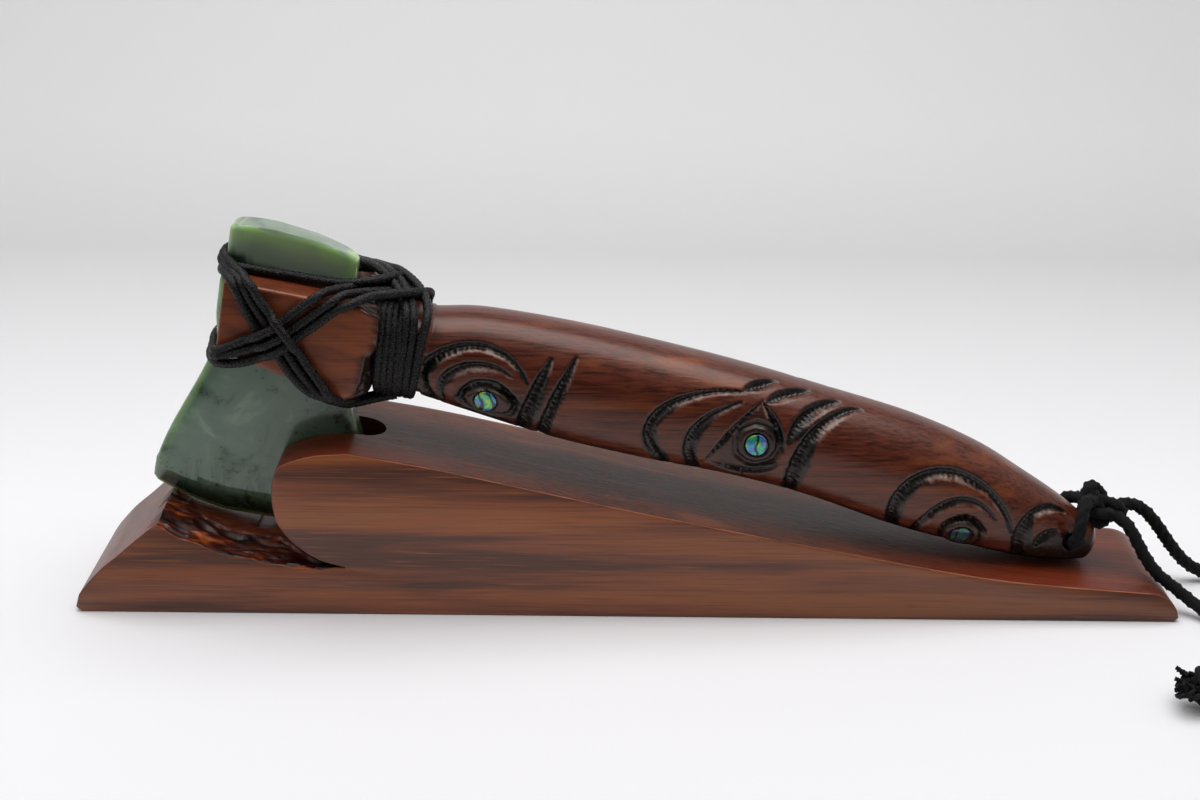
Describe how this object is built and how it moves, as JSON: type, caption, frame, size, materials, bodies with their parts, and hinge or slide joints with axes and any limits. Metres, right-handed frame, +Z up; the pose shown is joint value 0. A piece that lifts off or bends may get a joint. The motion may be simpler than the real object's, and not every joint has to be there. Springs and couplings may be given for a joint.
{
  "type": "hafted greenstone axe on stand",
  "caption": "Carved wooden-hafted greenstone adze lashed with cord, inlaid shell eyes and a wrist cord, lying on its notched wooden stand.",
  "frame": {"origin": "middle of the stand's underside", "axes": "+X along the stand from the blade to the butt of the handle, +Y away from the viewer, +Z up"},
  "size_m": [0.4029, 0.1067, 0.1247],
  "materials": {
    "stained_wood": "dark stained, satin",
    "greenstone": "polished nephrite jade, slightly translucent at its rims",
    "satin_cord": "black satin braided cord",
    "cotton_cord": "black matte twisted cord",
    "paua_shell": "polished blue-green shell"
  },
  "bodies": {
    "root": {"end_knot": "cotton_cord", "greenstone_blade": "greenstone", "handle": "stained_wood", "lashing": "satin_cord", "paua_eye_first_back": "paua_shell", "paua_eye_first_front": "paua_shell", "paua_eye_last_back": "paua_shell", "paua_eye_last_front": "paua_shell", "paua_eye_middle_back": "paua_shell", "paua_eye_middle_front": "paua_shell", "stand": "stained_wood", "wrist_cord_loop": "cotton_cord", "wrist_cord_lower_tail": "cotton_cord", "wrist_cord_upper_tail": "cotton_cord", "wrist_knot": "cotton_cord"}
  },
  "joints": []
}
